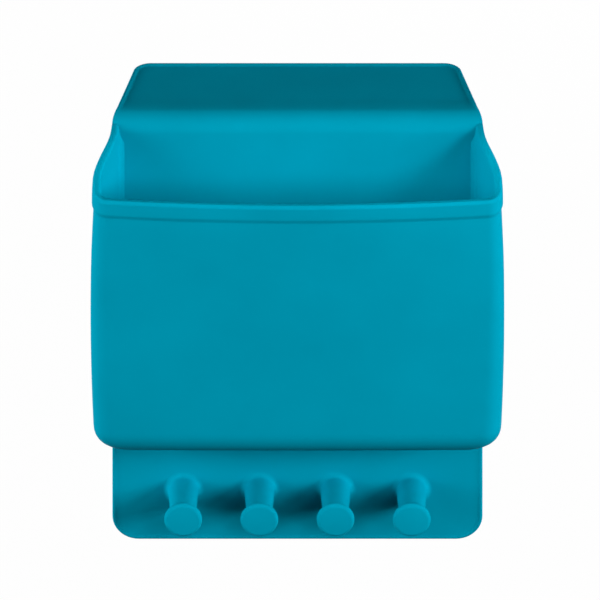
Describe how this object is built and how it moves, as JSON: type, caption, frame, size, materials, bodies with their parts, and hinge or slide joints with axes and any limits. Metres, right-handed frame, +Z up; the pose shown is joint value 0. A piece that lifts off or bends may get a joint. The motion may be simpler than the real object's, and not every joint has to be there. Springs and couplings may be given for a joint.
{
  "type": "silicone sink caddy",
  "caption": "Soft silicone sink caddy: a flap hooks over the counter edge, an open pocket holds sponges and brushes, and mushroom pegs below it hang cloths.",
  "frame": {"origin": "middle of the counter flap's flat underside, where it rests on the counter", "axes": "+Z up, -Y out of the front of the pocket, +X to the right of someone facing the front"},
  "size_m": [0.1788, 0.0939, 0.21],
  "materials": {
    "teal_silicone": "satin"
  },
  "bodies": {
    "caddy": {"back_panel": "teal_silicone", "flap_bend": "teal_silicone", "pocket_shell": "teal_silicone", "rim_band": "teal_silicone", "peg_1": "teal_silicone", "peg_2": "teal_silicone", "peg_3": "teal_silicone", "peg_4": "teal_silicone"},
    "flap": {"counter_flap": "teal_silicone"}
  },
  "joints": [
    {"name": "flap_fold", "type": "hinge", "parent": "caddy", "child": "flap", "pos_m": [0, -0.02562, -0.00013], "axis": [1, 0, 0], "range_deg": [-60, 90], "stiffness_Nm_per_rad": 0.14, "springref_deg": 2.29, "deforming": ["flap_bend"]}
  ]
}
